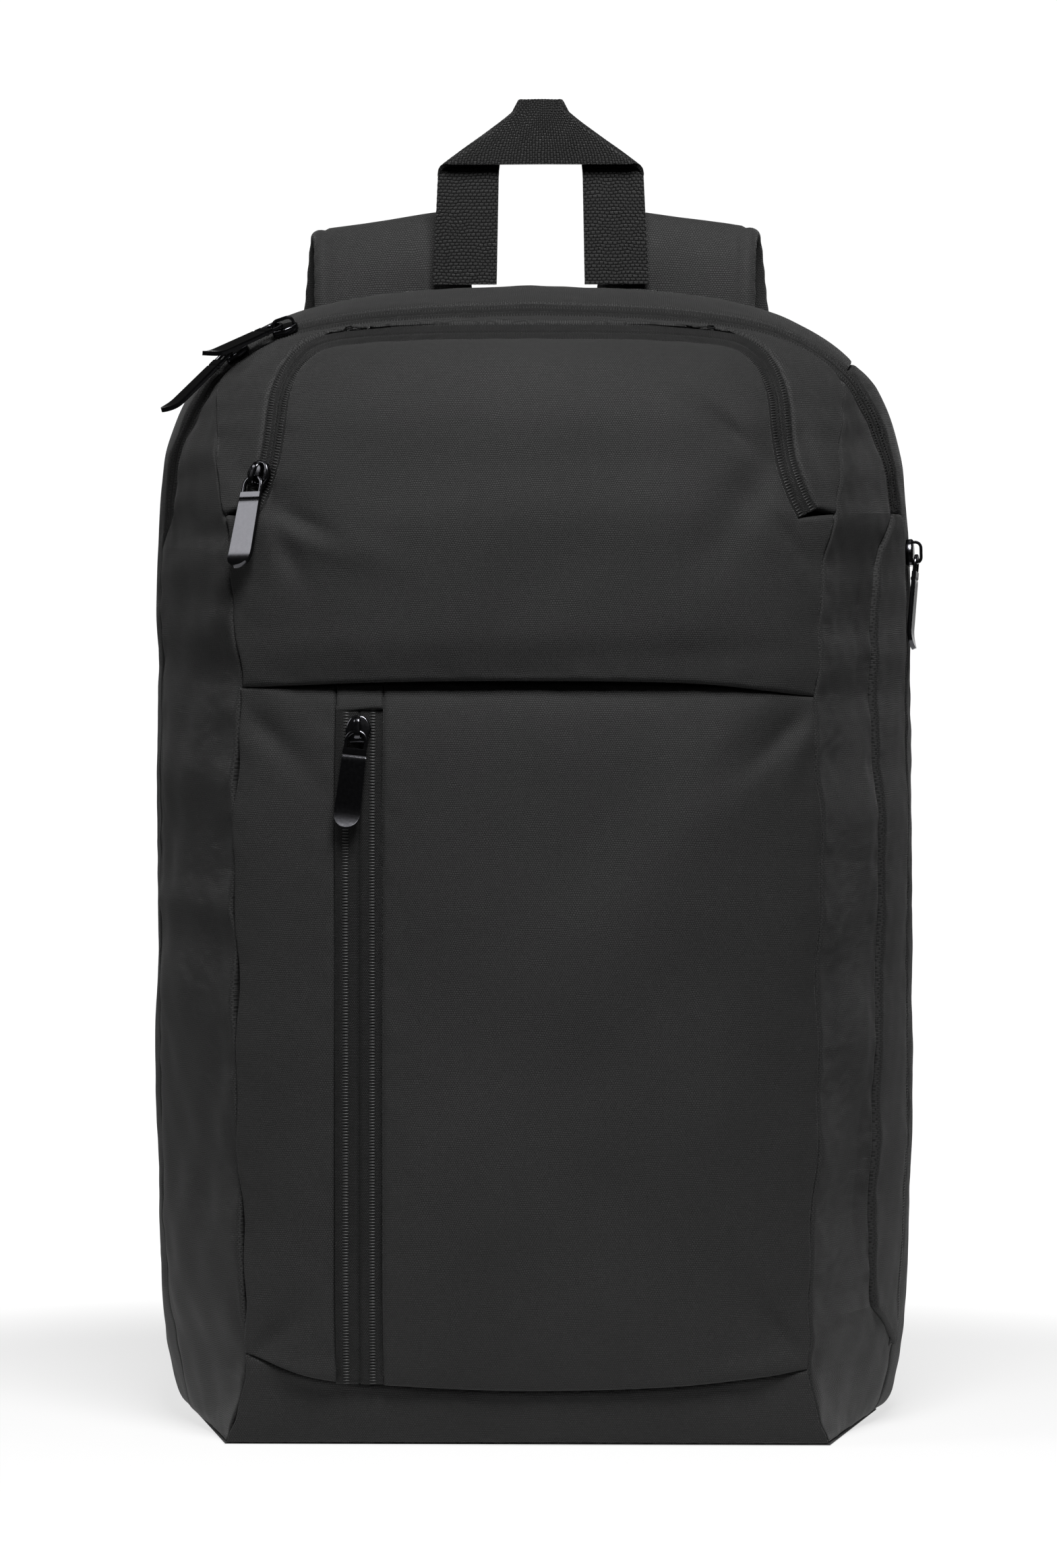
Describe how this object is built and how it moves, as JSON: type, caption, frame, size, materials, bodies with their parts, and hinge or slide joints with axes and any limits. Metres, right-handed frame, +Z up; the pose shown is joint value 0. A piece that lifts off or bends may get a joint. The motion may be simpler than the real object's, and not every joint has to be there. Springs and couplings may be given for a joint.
{
  "type": "laptop backpack",
  "caption": "Soft upright laptop backpack with an arched zip top, a zipped front door over a pocket panel, padded straps, a web grab handle and hinged zip pulls",
  "frame": {"origin": "on the floor, at the middle of the base", "axes": "+Z up, the front with the door and the pocket zip faces -Y, +X to the right of someone who looks at the front"},
  "size_m": [0.2979, 0.1835, 0.5109],
  "materials": {
    "body_cloth": "near-black charcoal woven polyester, matt, fine dotted weave",
    "strap_cloth": "near-black padded woven cloth with bound edges",
    "webbing": "black ribbed webbing",
    "zip_tape": "black reverse coil zip tape",
    "pull_metal": "black gloss metal",
    "buckle_plastic": "black moulded plastic"
  },
  "bodies": {
    "bag": {"lower_front_left": "body_cloth", "lower_front_right": "body_cloth", "pocket_zip_tape": "zip_tape", "pocket_zip_cover": "body_cloth", "base_front": "body_cloth", "upper_front_panel": "body_cloth", "front_zip_tape": "zip_tape", "yoke_panel": "body_cloth", "gusset_left": "body_cloth", "back_gusset_left": "body_cloth", "gusset_right": "body_cloth", "back_gusset_right": "body_cloth", "side_panel": "body_cloth", "side_zip_tape": "zip_tape", "rim_band": "body_cloth", "main_zip_tape": "zip_tape", "back_panel": "body_cloth", "base": "body_cloth", "grab_handle": "webbing", "shoulder_strap_left": "strap_cloth", "shoulder_strap_right": "strap_cloth", "anchor_tab_left": "body_cloth", "anchor_tab_right": "body_cloth", "ladder_buckle_left": "buckle_plastic", "ladder_buckle_right": "buckle_plastic", "strap_web_left": "webbing", "strap_web_right": "webbing", "zip_slider_pocket": "pull_metal", "zip_slider_front": "pull_metal", "zip_slider_main_lower": "pull_metal", "zip_slider_main_upper": "pull_metal", "zip_slider_side": "pull_metal"},
    "pull_pocket": {"zip_pull_pocket": "pull_metal"},
    "pull_front": {"zip_pull_front": "pull_metal"},
    "pull_main_lower": {"zip_pull_main_lower": "pull_metal"},
    "pull_main_upper": {"zip_pull_main_upper": "pull_metal"},
    "pull_side": {"zip_pull_side": "pull_metal"}
  },
  "joints": [
    {"name": "pocket_pull_hinge", "type": "hinge", "parent": "bag", "child": "pull_pocket", "pos_m": [-0.06188, -0.07349, 0.26314], "axis": [-0.9876, 0.1179, 0.1039], "range_deg": [0, 140]},
    {"name": "front_pull_hinge", "type": "hinge", "parent": "bag", "child": "pull_front", "pos_m": [-0.10112, -0.05515, 0.35782], "axis": [-0.859, 0.512, -0.002], "range_deg": [0, 130]},
    {"name": "main_lower_pull_hinge", "type": "hinge", "parent": "bag", "child": "pull_main_lower", "pos_m": [-0.11419, -0.00056, 0.40895], "axis": [-0.4376, 0.8968, 0.0653], "range_deg": [0, 90]},
    {"name": "main_upper_pull_hinge", "type": "hinge", "parent": "bag", "child": "pull_main_upper", "pos_m": [-0.09559, 0.00118, 0.41887], "axis": [-0.6194, 0.7805, 0.0841], "range_deg": [0, 95]},
    {"name": "side_pull_hinge", "type": "hinge", "parent": "bag", "child": "pull_side", "pos_m": [0.14781, 0.02729, 0.33164], "axis": [-0.1643, -0.9844, 0.063], "range_deg": [0, 140]}
  ]
}
